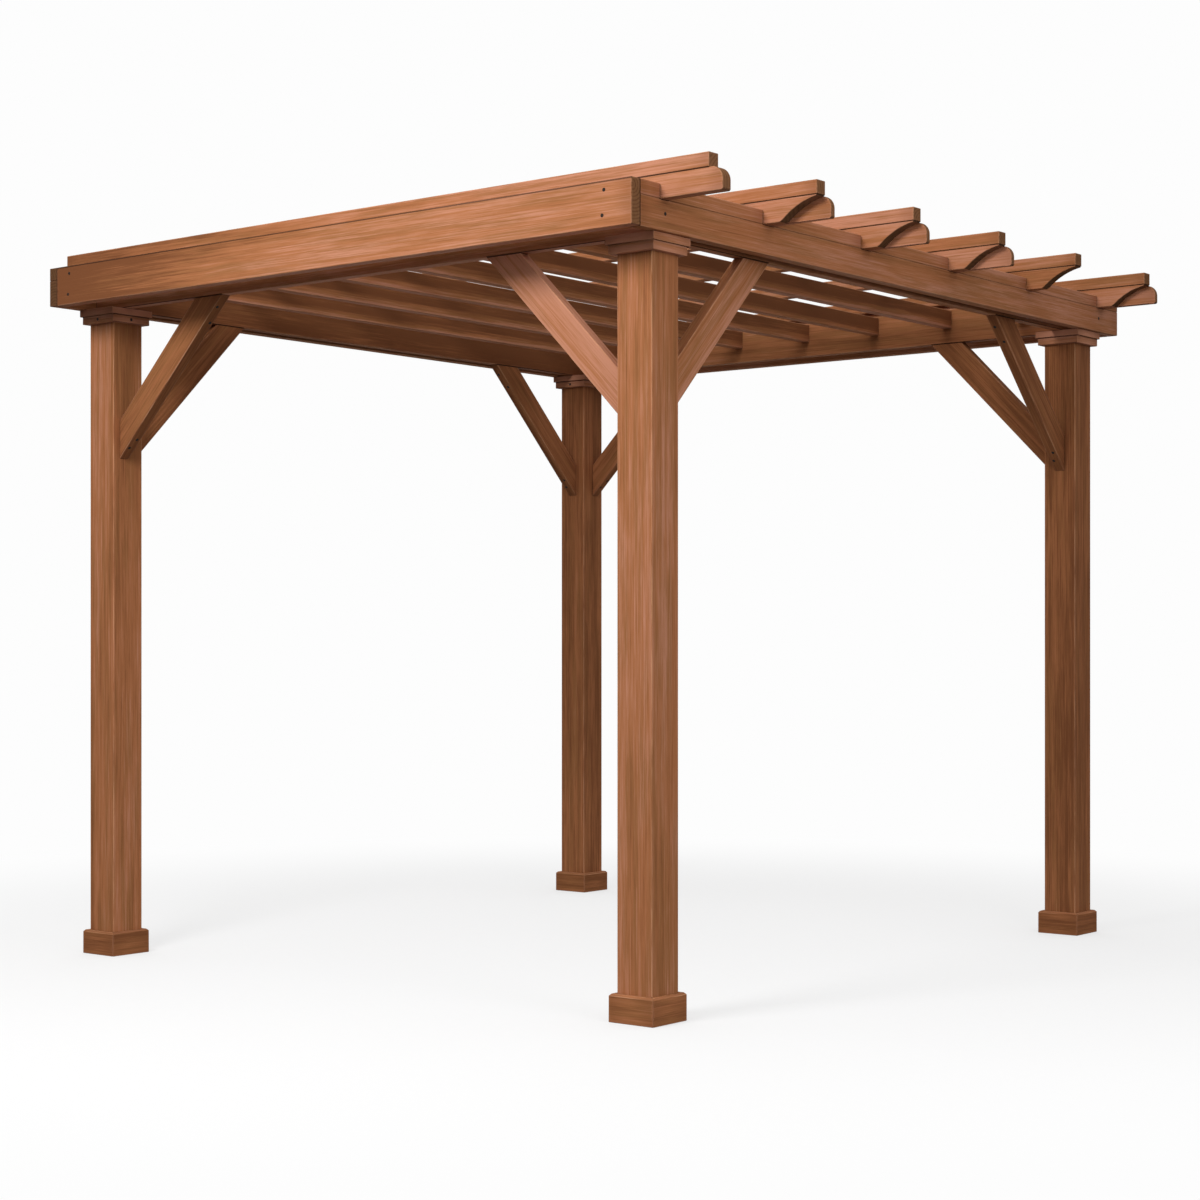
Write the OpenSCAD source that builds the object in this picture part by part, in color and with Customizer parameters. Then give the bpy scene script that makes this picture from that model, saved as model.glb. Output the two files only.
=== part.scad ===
// Timber garden pergola: four square posts carry a double ring of beams, a bay of
// joists running front to back, and six cross strips whose shaped tails overhang the
// right-hand side. Millimetres, +Z up, origin on the ground under the middle of the outline.
// +X is the side with the overhanging tails and -Y is the long plain front beam.

/* [Posts] */
// Width of each square post
post_w = 128; // [90:1:180]
// Distance between post centres from left to right
span_x = 2400; // [1800:10:3600]
// Distance between post centres from front to back
span_y = 2650; // [1800:10:3600]
// Clear height from the ground to the underside of the beams
clear_h = 2300; // [1900:10:2800]

/* [Base collars] */
// Outside width of the square collar round each post foot
base_w = 164; // [140:1:240]
// Height of the collar
base_h = 84; // [50:1:160]
// Chamfer round the top edge of the collar
base_chamfer = 6; // [2:0.5:15]

/* [Capitals] */
// Outside width of the upper capital moulding
cap_upper_w = 180; // [150:1:260]
// Height of the upper moulding
cap_upper_h = 25; // [12:1:60]
// Outside width of the lower capital moulding
cap_lower_w = 166; // [140:1:240]
// Height of the lower moulding
cap_lower_h = 27; // [12:1:60]

/* [Beams] */
// Thickness of every board
board_t = 40; // [28:1:60]
// Full height of the front and back beams
beam_h = 135; // [100:1:220]
// Height of the plain lower board of the side beams
seat_h = 91; // [60:1:150]
// How far the side beams stand outside the post faces
over_side = 40; // [40:1:120]
// How far the front and back beams stand outside the post faces
over_front = 148; // [100:1:300]
// How far the inner front and back beams sit outward of the post centre line
beam_shift = 17; // [0:1:40]

/* [Strips and tails] */
// Height of the tail boards
rafter_h = 70; // [50:1:120]
// Width of each cross strip
strip_w = 46; // [42:1:80]
// Height of each cross strip
strip_h = 44; // [25:1:80]
// Overhang of the strips beyond the right-hand beam
tail_out = 196; // [170:1:320]
// Overhang of the strips beyond the left-hand beam
left_out = 75; // [20:1:160]
// How much shorter the first strip is at its right-hand end
first_short = 23; // [0:1:60]
// How much further the round-ended boards reach
round_extra = 25; // [5:1:60]
// Thickness of the round-ended boards that lie behind a shaped tail
round_t = 20; // [16:1:40]
// Radius of the rounded top corner of a round-ended board
round_r = 40; // [20:1:60]
// Radius of the hollow curve of a shaped tail
cove_r = 250; // [120:1:400]
// Radius of the swelling curve of a shaped tail
swell_r = 60; // [10:1:90]
// Square lip left at the tip of a shaped tail
tip_h = 4; // [2:0.5:15]
// Slope of the hollow curve where it leaves the tip, in degrees
tip_slope = 10; // [0:1:20]
// Slope of the swelling curve where it meets the flat seat, in degrees
seat_slope = 25; // [0:1:40]

/* [Joists] */
// Number of joists between the side beams
joist_n = 7; // [3:1:10]
// Height of each joist
joist_h = 70; // [45:1:120]
// How far the joists lie below the top of the inner beams
joist_drop = 6; // [0:1:30]

/* [Braces] */
// Length of a knee brace along the post and along the beam
brace_leg = 535; // [350:5:700]
// Width of a knee brace across its grain
brace_w = 96; // [60:1:140]

/* [Hidden] */
$fn = 96;
wood = [0.56, 0.33, 0.20];
wood_dark = [0.48, 0.28, 0.17];
wood_light = [0.62, 0.38, 0.24];
bite = 1;
// Six strips, each with nodes of its own
station_n = 6;
post_x = span_x / 2;
post_y = span_y / 2;
half_w = post_w / 2;
out_x = post_x + half_w + over_side;
out_y = post_y + half_w + over_front;
in_x = post_x - half_w;
side_x = post_x - board_t / 2;
in_y = post_y + beam_shift - board_t / 2;
seat_z = clear_h + seat_h;
beam_top = clear_h + beam_h;
rafter_top = seat_z + rafter_h;
tail_root = side_x + board_t;
tip_x = out_x + tail_out;
round_x = tip_x + round_extra;
left_x = out_x + left_out;
round_left = left_x + round_extra;
band_half = in_y + 2 * board_t;
pitch = 2 * band_half / (station_n - 1);
joist_pitch = 2 * side_x / joist_n;
joist_top = beam_top - joist_drop;
cap_z = clear_h - cap_upper_h - cap_lower_h;
low_r = round_r / 6;
cove_h = rafter_h - tip_h;
cove_u = -cove_r * sin(tip_slope);
cove_v = cove_h - cove_r * cos(tip_slope);
swell_v = swell_r * cos(seat_slope);
swell_u = cove_u + sqrt(pow(cove_r + swell_r, 2) - pow(swell_v - cove_v, 2));
cove_share = cove_r / (cove_r + swell_r);
meet_u = cove_u + (swell_u - cove_u) * cove_share;
meet_h = cove_v + (swell_v - cove_v) * cove_share;
curve_end = swell_u - swell_r * sin(seat_slope);

// Collar and mouldings stay at least this thick round a wider post
least_wall = 6;
least_w = post_w + 2 * least_wall;
base_out = max(base_w, least_w);
cap_upper_out = max(cap_upper_w, least_w);
cap_lower_out = max(cap_lower_w, least_w);

// The longer overhang is on the right, so the posts stand this far left of the outline's middle
mid_x = (left_out - tail_out) / 2;

// Line between the two boards of a station, counted from the front
function station_y(k) = -band_half + (k - 1) * pitch;
// Stations that carry a shaped tail and stations that carry a round-ended board
function has_ogee(k) = k > 1;
function has_round(k) = k != station_n - 1;
// A round-ended board without a shaped tail is of full thickness and its strip lies flush on it
function round_wide(k) = has_ogee(k) ? round_t : board_t;
function strip_y(k) = has_ogee(k) ? station_y(k) - board_t : station_y(k);

// Carries a piece from the middle of the posts to the middle of the outline
module place() {
  translate([mid_x, 0, 0])
    children();
}

// A board given by its two opposite corners
module board(a, b) {
  translate(a)
    cube(b - a);
}

// Square prism standing on the post centre line
module pillar(sx, sy, w, z0, h) {
  translate([sx * post_x - w / 2, sy * post_y - w / 2, z0])
    cube([w, w, h]);
}

module post(sx, sy) {
  color(wood)
    pillar(sx, sy, post_w, 0, clear_h);
}

// Four mitred boards round the foot, read as one collar with an eased top edge
module base(sx, sy) {
  color(wood)
    difference() {
      pillar(sx, sy, base_out, 0, base_h);
      pillar(sx, sy, post_w, -bite, base_h + 2 * bite);
      for (a = [0:90:270])
        translate([sx * post_x, sy * post_y, base_h - base_chamfer])
          rotate([0, 0, a])
            translate([base_out / 2, -base_out, 0])
              rotate([0, -45, 0])
                cube([base_out / 4, 2 * base_out, base_out / 4]);
    }
}

// Two-step moulding round the head of the post
module capital(sx, sy) {
  color(wood_light)
    difference() {
      union() {
        pillar(sx, sy, cap_lower_out, cap_z, cap_lower_h + cap_upper_h / 2);
        pillar(sx, sy, cap_upper_out, cap_z + cap_lower_h, cap_upper_h);
      }
      pillar(sx, sy, post_w, cap_z - bite, cap_lower_h + cap_upper_h + 2 * bite);
    }
}

// The outer ring laps round the corners, each beam covering the end of the next
module beam_front_outer() {
  color(wood)
    board([-out_x + board_t, -out_y, clear_h], [out_x, -out_y + board_t, beam_top]);
}

module beam_back_outer() {
  color(wood)
    board([-out_x, out_y - board_t, clear_h], [out_x - board_t, out_y, beam_top]);
}

module beam_left_lower() {
  color(wood)
    board([-out_x, -out_y, clear_h], [-out_x + board_t, out_y - board_t, seat_z]);
}

module beam_right_lower() {
  color(wood)
    board([out_x - board_t, -out_y + board_t, clear_h], [out_x, out_y, seat_z]);
}

// Upper part of a side beam, cut away where boards pass over the lower part
module blocking_left() {
  color(wood_dark)
    difference() {
      board([-out_x, -out_y, seat_z], [-out_x + board_t, out_y - board_t, beam_top]);
      for (k = [1:station_n])
        if (has_round(k))
          translate([-out_x - bite, station_y(k), seat_z - bite])
            cube([board_t + 2 * bite, round_wide(k), beam_h]);
    }
}

module blocking_right() {
  color(wood_dark)
    difference() {
      board([out_x - board_t, -out_y + board_t, seat_z], [out_x, out_y, beam_top]);
      for (k = [1:station_n]) {
        if (has_ogee(k))
          translate([out_x - board_t - bite, station_y(k) - board_t, seat_z - bite])
            cube([board_t + 2 * bite, board_t, beam_h]);
        if (has_round(k))
          translate([out_x - board_t - bite, station_y(k), seat_z - bite])
            cube([board_t + 2 * bite, round_wide(k), beam_h]);
      }
    }
}

// Inner front and back beams stand over the posts, between the side beams
module beam_inner_x(sy) {
  y0 = sy > 0 ? in_y : -in_y - board_t;
  color(wood_dark)
    translate([-out_x + board_t, y0, clear_h])
      cube([2 * (out_x - board_t), board_t, beam_h]);
}

// Inner side beams stand over the posts, between the inner front and back beams, and carry the strips
module beam_inner_y(sx) {
  x0 = sx > 0 ? side_x : -side_x - board_t;
  color(wood_dark)
    translate([x0, -in_y, clear_h])
      cube([board_t, 2 * in_y, rafter_top - clear_h]);
}

// Joists run between the inner front and back beams, with half a space at each side
module joists() {
  color(wood_dark)
    for (i = [1:joist_n])
      translate([-side_x + (i - 0.5) * joist_pitch - board_t / 2, -in_y, joist_top - joist_h])
        cube([board_t, 2 * in_y, joist_h]);
}

// Knee brace outline: u runs along the beam from the post, v is height
module brace_profile() {
  cut = brace_w * sqrt(2);
  low = clear_h - brace_leg;
  polygon([[0, low], [0, low + cut], [brace_leg - cut, clear_h], [brace_leg, clear_h]]);
}

// Brace along X, in line with the inner front or back beam
module brace_x(sx, sy) {
  y1 = sy > 0 ? in_y + board_t : -in_y;
  color(wood_light)
    translate([sx * in_x, y1, 0])
      mirror([sx > 0 ? 1 : 0, 0, 0])
        rotate([90, 0, 0])
          linear_extrude(height = board_t)
            brace_profile();
}

// Brace along Y, in line with an inner side beam
module brace_y(sx, sy) {
  x0 = sx > 0 ? side_x : -side_x - board_t;
  color(wood_light)
    translate([x0, sy * (post_y - half_w), 0])
      mirror([0, sy > 0 ? 1 : 0, 0])
        rotate([90, 0, 90])
          linear_extrude(height = board_t)
            brace_profile();
}

module strip(k) {
  right_x = has_ogee(k) ? tip_x : tip_x - first_short;
  color(wood_light)
    board([-left_x, strip_y(k), rafter_top],
          [right_x, strip_y(k) + strip_w, rafter_top + strip_h]);
}

// Side outline of a round-ended board: u from the tip inward, v is height
module round_cut() {
  difference() {
    translate([-bite, rafter_h - round_r])
      square([round_r + bite, round_r + bite]);
    translate([round_r, rafter_h - round_r])
      circle(r = round_r);
  }
  difference() {
    translate([-bite, -bite])
      square([low_r + bite, low_r + bite]);
    translate([low_r, low_r])
      circle(r = low_r);
  }
}

module round_profile(length, both) {
  difference() {
    square([length, rafter_h]);
    round_cut();
    if (both)
      translate([length, 0])
        mirror([1, 0])
          round_cut();
  }
}

// Board lying along X with its shaped tip at tip and running inward to the left
module tail(tip, y0, thick) {
  translate([tip, y0, seat_z])
    mirror([1, 0, 0])
      translate([0, thick, 0])
        rotate([90, 0, 0])
          linear_extrude(height = thick)
            children();
}

// The first and last stations run right across; the others stop at the inner beam
module round_board(k) {
  across = k == 1 || k == station_n;
  color(wood)
    tail(round_x, station_y(k), round_wide(k))
      round_profile(across ? round_x + round_left : round_x - tail_root, across);
}

// Short left-hand ends of the boards that do not run across
module round_stubs_left() {
  color(wood)
    for (k = [2:station_n - 1])
      if (has_round(k))
        mirror([1, 0, 0])
          tail(round_left, station_y(k), round_wide(k))
            round_profile(round_left - tail_root, false);
}

// Shaped tail: flat seat, swelling curve, long hollow curve, thin lip under the strip
module ogee_profile() {
  length = tip_x - tail_root;
  difference() {
    square([length, rafter_h]);
    difference() {
      translate([cove_u, cove_v])
        circle(r = cove_r);
      translate([-2 * cove_r, -3 * cove_r])
        square([4 * cove_r, 3 * cove_r - bite]);
      translate([meet_u, -2 * bite])
        square([cove_r, meet_h + 2 * bite]);
    }
    difference() {
      translate([meet_u - bite / 10, -bite])
        square([curve_end - meet_u + bite / 10, meet_h + bite]);
      translate([swell_u, swell_v])
        circle(r = swell_r);
    }
  }
}

module ogee_tail(k) {
  color(wood_light)
    tail(tip_x, station_y(k) - board_t, board_t)
      ogee_profile();
}

place() post(-1, -1);  // post_front_left
place() post(1, -1);  // post_front_right
place() post(-1, 1);  // post_back_left
place() post(1, 1);  // post_back_right
place() base(-1, -1);  // base_front_left
place() base(1, -1);  // base_front_right
place() base(-1, 1);  // base_back_left
place() base(1, 1);  // base_back_right
place() capital(-1, -1);  // capital_front_left
place() capital(1, -1);  // capital_front_right
place() capital(-1, 1);  // capital_back_left
place() capital(1, 1);  // capital_back_right
place() beam_front_outer();
place() beam_back_outer();
place() beam_left_lower();
place() beam_right_lower();
place() blocking_left();
place() blocking_right();
place() beam_inner_x(-1);  // beam_front_inner
place() beam_inner_x(1);  // beam_back_inner
place() beam_inner_y(-1);  // beam_left_inner
place() beam_inner_y(1);  // beam_right_inner
place() joists();
place() brace_x(-1, -1);  // brace_front_left_x
place() brace_x(1, -1);  // brace_front_right_x
place() brace_x(-1, 1);  // brace_back_left_x
place() brace_x(1, 1);  // brace_back_right_x
place() brace_y(-1, -1);  // brace_front_left_y
place() brace_y(1, -1);  // brace_front_right_y
place() brace_y(-1, 1);  // brace_back_left_y
place() brace_y(1, 1);  // brace_back_right_y
place() strip(1);  // strip_1
place() strip(2);  // strip_2
place() strip(3);  // strip_3
place() strip(4);  // strip_4
place() strip(5);  // strip_5
place() strip(6);  // strip_6
place() round_board(1);  // round_board_1
place() round_board(2);  // round_board_2
place() round_board(3);  // round_board_3
place() round_board(4);  // round_board_4
place() round_board(6);  // round_board_6
place() round_stubs_left();
place() ogee_tail(2);  // ogee_tail_2
place() ogee_tail(3);  // ogee_tail_3
place() ogee_tail(4);  // ogee_tail_4
place() ogee_tail(5);  // ogee_tail_5
place() ogee_tail(6);  // ogee_tail_6
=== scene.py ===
import math
import random

import bmesh
import bpy
from bpy.props import FloatProperty, FloatVectorProperty, IntProperty, PointerProperty
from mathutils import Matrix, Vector


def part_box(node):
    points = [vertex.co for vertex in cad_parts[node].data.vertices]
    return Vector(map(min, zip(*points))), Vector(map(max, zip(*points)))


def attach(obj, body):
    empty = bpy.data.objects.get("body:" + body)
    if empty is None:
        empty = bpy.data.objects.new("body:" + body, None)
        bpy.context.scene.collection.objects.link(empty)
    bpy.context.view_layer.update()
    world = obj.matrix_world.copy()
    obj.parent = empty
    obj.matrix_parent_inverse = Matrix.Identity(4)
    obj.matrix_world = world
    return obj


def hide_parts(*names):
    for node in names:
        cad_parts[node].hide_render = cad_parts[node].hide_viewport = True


bl_info = {
    "name": "Timber Pergola",
    "version": (1, 0, 0),
    "blender": (4, 5, 0),
    "location": "3D View > Sidebar > Pergola",
    "description": "Dresses the frame of a stained timber pergola board by board",
    "category": "Object",
}

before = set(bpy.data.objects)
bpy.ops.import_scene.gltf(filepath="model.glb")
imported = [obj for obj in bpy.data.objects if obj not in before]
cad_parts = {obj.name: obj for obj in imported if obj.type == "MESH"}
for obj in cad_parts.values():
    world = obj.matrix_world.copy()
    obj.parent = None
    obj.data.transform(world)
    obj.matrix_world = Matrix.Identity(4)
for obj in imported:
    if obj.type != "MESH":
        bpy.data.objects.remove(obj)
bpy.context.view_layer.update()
BODY = "root"

CORNERS = [f"{side}_{hand}" for side in ("front", "back") for hand in ("left", "right")]
X, Y, Z = Vector((1, 0, 0)), Vector((0, 1, 0)), Vector((0, 0, 1))
BOARDS = []

# Lengths and angles that the mesh work goes by.
MERGE = 0.00001
REACH = 0.003
NARROW = 0.03
FLAT = math.radians(1)
SHARP = math.radians(25)

# How much darker than the main stain a board is, by the start of its node's name. Mostly painted
# shade and painted light: the darker joists, left and back inner beams, collars, back posts and
# left and back braces stand in for shade, and the paler capitals, tails, most strips and near right
# braces for light.
PAINTED_SHADE_AND_LIGHT = {
    "blocking": 0.02, "joists": 0.54, "base": 0.25, "capital": -0.30,
    "beam_left_inner": 0.48, "beam_back_inner": 0.20, "beam_front_inner": -0.12,
    "beam_front_outer": 0.05, "beam_right_lower": -0.02,
    "post_back": 0.24, "post_front_right": 0.10,
    "brace_front_right_x": -0.24, "brace_front_right_y": -0.08,
    "brace_front_left_x": 0.20, "brace_front_left_y": 0.42, "brace_back": 0.28,
    "round": -0.20, "ogee": -0.10, "strip_1": 0.06, "strip": -0.08,
}
SHADE_SPREAD = 0.09

# Painted shade and light along a board: tone that it gains towards its left or front end, and
# towards its right or back end, darker at the front beam's left end, paler at the right beam's back
# end.
PAINTED_FADES = {
    "beam_front_outer": (0.70, -0.08), "strip_1": (0.28, -0.28),
    "beam_right_lower": (0.0, -0.25), "blocking_right": (0.0, -0.15),
}

# Painted light from below: tone that an underside gains, paler as if lit by the floor, and how far
# up the sides of the joists this painted lit band fades out.
PAINTED_UNDERSIDE_LIGHT = {
    "joists": -0.80, "beam_left_inner": -0.3, "beam_front_inner": -0.3, "beam_front_outer": -0.8,
}
LIT_BAND = 0.034

# Depth of painted shade, from 0 for none to 1: under the shaped ends, on the end grain of the left
# side beam and blocking, in the faint line between the blocking and its beam, and in the painted
# shadow line along the top edge of a front or back beam, with its width.
UNDERCUT_SHADE = 0.55
SHADED_END_GRAIN = {"beam_left_lower": 0.6, "blocking_left": 0.6}
FAINT_SEAM = 0.3
TOP_SHADOW = 0.9
TOP_SHADOW_WIDTH = 0.0055

# A face counts as end grain by how squarely it looks along the board.
END_STARTS = 0.10
END_SPAN = 0.35
# An end face that looks down more than this gets painted shade.
LOOKS_DOWN = -0.2

# How much a board's height counts beside its side of the post when a ring's boards are told apart.
LEVEL_WEIGHT = 10

# Noise in the grain: stretch along, across and through a board, detail, roughness, pull on tone.
GRAIN = {
    "broad": ((0.6, 9.0, 9.0), 2.0, 0.55, 0.80),
    "streak": ((1.6, 60.0, 60.0), 3.0, 0.60, 0.72),
    "dash": ((4.5, 260.0, 260.0), 3.0, 0.65, 0.95),
    "fibre": ((12.0, 560.0, 560.0), 3.0, 0.65, 0.55),
    "blotch": ((3.0, 20.0, 20.0), 4.0, 0.65, 0.60),
}
MAIN_TONE = 0.44

# Dark stain of the knots and end rings, the colour of the painted shade in joints, under shaped
# ends and along beam tops, and metal where a screw is rubbed.
KNOT_RING = (0.100, 0.036, 0.015)
KNOT_EYE = (0.030, 0.013, 0.007)
END_RING = (0.055, 0.024, 0.010)
JOINT_SHADOW = (0.022, 0.010, 0.006)
RUBBED_METAL = (0.045, 0.030, 0.022)

# Screw places: up a brace from its foot and down from its head, aside by turns; as shares of the
# height of a front or back beam; and on a side beam, past the post's middle and up its height.
FOOT_SCREWS = (0.052, 0.092)
HEAD_SCREWS = (0.125, 0.055)
SCREWS_ASIDE = (-0.006, 0.005, 0.006, -0.005)
BEAM_SCREWS = (0.26, 0.80)
BEAM_STAGGER = 0.012
SIDE_SCREW_PAST = 1.04
SIDE_SCREW_HEIGHT = 0.55

# A screw head: its sides, its top and its recess as shares of the diameter, and how many times the
# rise the box that cuts the recess is high.
HEAD_SIDES = 20
HEAD_TOP = 0.40
RECESS_LENGTH = 0.58
RECESS_WIDTH = 0.13
RECESS_DEPTH = 1.2

# Floor, lamps and lens.
FLOOR_RADIUS = 60.0
FLOOR_SIDES = 96
FLOOR_DROP = 0.0005
SHADOW_FADE = (1.9, 4.6)
LAMP_WIDTH = 1.6
KEY_AIM = (0.1, -1.4, 1.7)
SIDE_AIM = (1.2, -0.9, 1.8)
SENSOR = 36.0
CLIP = (0.1, 300.0)


class TimberSizes(bpy.types.PropertyGroup):
    """Colours and surface of the stained boards."""

    pale: FloatVectorProperty(
        name="Pale Grain", description="Stain over the soft early wood", subtype="COLOR",
        size=3, min=0, max=1, default=(0.475, 0.212, 0.130))
    body: FloatVectorProperty(
        name="Body", description="Main colour of the stained wood", subtype="COLOR",
        size=3, min=0, max=1, default=(0.358, 0.138, 0.057))
    olive: FloatVectorProperty(
        name="Brown Streak", description="Stain where a streak turns from red to brown",
        subtype="COLOR", size=3, min=0, max=1, default=(0.275, 0.116, 0.044))
    dark: FloatVectorProperty(
        name="Dark Grain", description="Stain over the dense late wood", subtype="COLOR",
        size=3, min=0, max=1, default=(0.175, 0.064, 0.026))
    end: FloatVectorProperty(
        name="End Grain", description="Stain soaked into the sawn ends", subtype="COLOR",
        size=3, min=0, max=1, default=(0.185, 0.088, 0.040))
    # Worn wood on an arris, paler than wear alone as a painted highlight along the edges.
    worn_and_highlit: FloatVectorProperty(
        name="Worn Arris", description="Wood that shows where an edge has rubbed", subtype="COLOR",
        size=3, min=0, max=1, default=(0.55, 0.28, 0.155))
    arris: FloatProperty(
        name="Arris", description="Width of the eased edge of a planed board", unit="LENGTH",
        default=0.0025, min=0.0005, max=0.006)
    trim_arris: FloatProperty(
        name="Trim Arris", description="Width of the eased edge of a collar or capital moulding",
        unit="LENGTH", default=0.0014, min=0.0005, max=0.004)
    ring: FloatProperty(
        name="Ring Spacing", description="Distance between growth rings", unit="LENGTH",
        default=0.011, min=0.002, max=0.03)
    bump: FloatProperty(
        name="Grain Depth", description="Height of the raised grain", unit="LENGTH",
        default=0.0006, min=0, max=0.003)


class ScrewSizes(bpy.types.PropertyGroup):
    """Screw heads that hold the boards."""

    head: FloatProperty(
        name="Head Diameter", description="Diameter of a screw head", unit="LENGTH",
        default=0.0115, min=0.004, max=0.02)
    rise: FloatProperty(
        name="Head Rise", description="How far a head stands out of the wood", unit="LENGTH",
        default=0.0012, min=0.0004, max=0.004)
    seed: IntProperty(
        name="Turn Seed", description="Seed of the way the recesses are turned", default=7, min=0)
    metal: FloatVectorProperty(
        name="Metal", description="Dark coating of the screws", subtype="COLOR",
        size=3, min=0, max=1, default=(0.014, 0.009, 0.007))


class StageSizes(bpy.types.PropertyGroup):
    """Floor, lamps and camera."""

    eye: FloatVectorProperty(
        name="Camera Place", description="Where the camera stands", subtype="TRANSLATION",
        unit="LENGTH", size=3, default=(5.2360, -6.6814, 1.1163))
    yaw: FloatProperty(
        name="Camera Turn", description="Turn of the level camera from looking along Y",
        subtype="ANGLE", default=math.radians(38.6))
    lens: FloatProperty(
        name="Lens", description="Focal length on a sensor 36 mm wide", unit="CAMERA",
        default=68.92, min=10, max=300)
    rise: FloatProperty(
        name="Lens Shift", description="Vertical shift of the lens", default=0.0342)
    white: FloatProperty(
        name="Background", description="Brightness of the floor and the background",
        default=0.982, min=0, max=1)
    paper: FloatProperty(
        name="Floor Paper",
        description="Share of the light that the floor sends back near the posts",
        default=0.25, min=0, max=1)
    glow: FloatProperty(
        name="Floor Glow", description="Brightness that the floor shows of its own near the posts",
        default=0.628, min=0, max=1)
    dome: FloatProperty(
        name="Dome Light", description="Strength of the even light from all round",
        default=0.23, min=0, max=2)
    zenith: FloatProperty(
        name="Overhead Light", description="Light that the dome gains towards the top",
        default=0.42, min=0, max=2)
    fill: FloatProperty(
        name="Side Light", description="Light that the dome gains towards the right",
        default=0.45, min=0, max=2)
    back: FloatProperty(
        name="Back Light", description="Light that the dome gains towards the back and the left",
        default=1.15, min=0, max=2)
    front: FloatProperty(
        name="Front Light", description="Light that the dome gains towards the front",
        default=0.30, min=0, max=2)
    key: FloatProperty(
        name="Key Lamp", description="Power of the soft lamp in front", unit="POWER",
        default=160.0, min=0, max=2000)
    key_place: FloatVectorProperty(
        name="Key Lamp Place", description="Where the soft lamp hangs", subtype="TRANSLATION",
        unit="LENGTH", size=3, default=(0.5, -4.6, 4.2))
    side: FloatProperty(
        name="Side Lamp", description="Power of the soft lamp at the right", unit="POWER",
        default=34.0, min=0, max=2000)
    side_place: FloatVectorProperty(
        name="Side Lamp Place", description="Where the lamp at the right stands",
        subtype="TRANSLATION", unit="LENGTH", size=3, default=(4.2, -1.9, 2.2))


class Field:
    """A shader socket that takes part in Python arithmetic."""

    def __init__(self, bench, socket):
        self.bench = bench
        self.socket = socket

    def __add__(self, other):
        return self.bench.math("ADD", self, other)

    __radd__ = __add__

    def __sub__(self, other):
        return self.bench.math("SUBTRACT", self, other)

    def __rsub__(self, other):
        return self.bench.math("SUBTRACT", other, self)

    def __mul__(self, other):
        return self.bench.math("MULTIPLY", self, other)

    __rmul__ = __mul__

    def __truediv__(self, other):
        return self.bench.math("DIVIDE", self, other)

    def __rtruediv__(self, other):
        return self.bench.math("DIVIDE", other, self)

    def __pow__(self, other):
        return self.bench.math("POWER", self, other)


class Bench:
    """A node tree of a material, the world or a modifier, and the nodes put in it."""

    def __init__(self, tree):
        self.tree = tree
        tree.nodes.clear()

    def node(self, kind, settings=None, **sockets):
        """A node of this kind, with its settings first and then its sockets' values or links."""
        made = self.tree.nodes.new(kind)
        for name, value in (settings or {}).items():
            setattr(made, name, value)
        for name, value in sockets.items():
            socket = next(
                s for s in made.inputs if name in (s.identifier, s.name.replace(" ", "_")))
            for part in value if isinstance(value, list) else [value]:
                if isinstance(part, Field):
                    self.tree.links.new(part.socket, socket)
                else:
                    socket.default_value = part
        return made

    def field(self, made, output=0):
        return Field(self, made.outputs[output])

    def math(self, operation, *values):
        made = self.tree.nodes.new("ShaderNodeMath")
        made.operation = operation
        for socket, value in zip(made.inputs, values):
            if isinstance(value, Field):
                self.tree.links.new(value.socket, socket)
            else:
                socket.default_value = value
        return self.field(made)

    def step(self, value, low, high):
        """Eased climb from 0 at low to 1 at high, or down where low is the larger."""
        return self.field(self.node(
            "ShaderNodeMapRange", {"interpolation_type": "SMOOTHSTEP"},
            Value=value, From_Min=low, From_Max=high))

    def attribute(self, name, output="Fac"):
        return self.field(self.node("ShaderNodeAttribute", {"attribute_name": name}), output)

    def stretch(self, vector, scale):
        return self.field(self.node(
            "ShaderNodeVectorMath", {"operation": "MULTIPLY"}, Vector=vector, Vector_001=scale))

    def noise(self, vector, detail=2.0, roughness=0.5):
        return self.field(self.node(
            "ShaderNodeTexNoise", Vector=vector, Scale=1.0, Detail=detail, Roughness=roughness))

    def mix(self, factor, a, b):
        """Colour b over colour a."""
        made = self.node(
            "ShaderNodeMix", {"data_type": "RGBA"},
            Factor_Float=factor, A_Color=rgba(a), B_Color=rgba(b))
        colour_output = 2
        return self.field(made, colour_output)

    def split(self, vector):
        """The three parts of a vector as numbers."""
        made = self.node("ShaderNodeSeparateXYZ", Vector=vector)
        return [self.field(made, axis) for axis in range(3)]

    def seen(self):
        """1 where floor or sky shows as background: to the camera, in gloss and through glass."""
        path = self.node("ShaderNodeLightPath")
        rays = [self.field(path, f"Is {kind} Ray") for kind in ("Camera", "Glossy", "Transmission")]
        return self.math("MAXIMUM", rays[0], self.math("MAXIMUM", rays[1], rays[2]))


def new_finish(name):
    """A new material and the bench for its nodes."""
    material = bpy.data.materials.new(name)
    material.use_nodes = True
    return material, Bench(material.node_tree)


def rgba(colour):
    """A colour that a socket takes: a link as it is, or three numbers with full alpha."""
    return colour if isinstance(colour, Field) else (*colour, 1.0)


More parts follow.
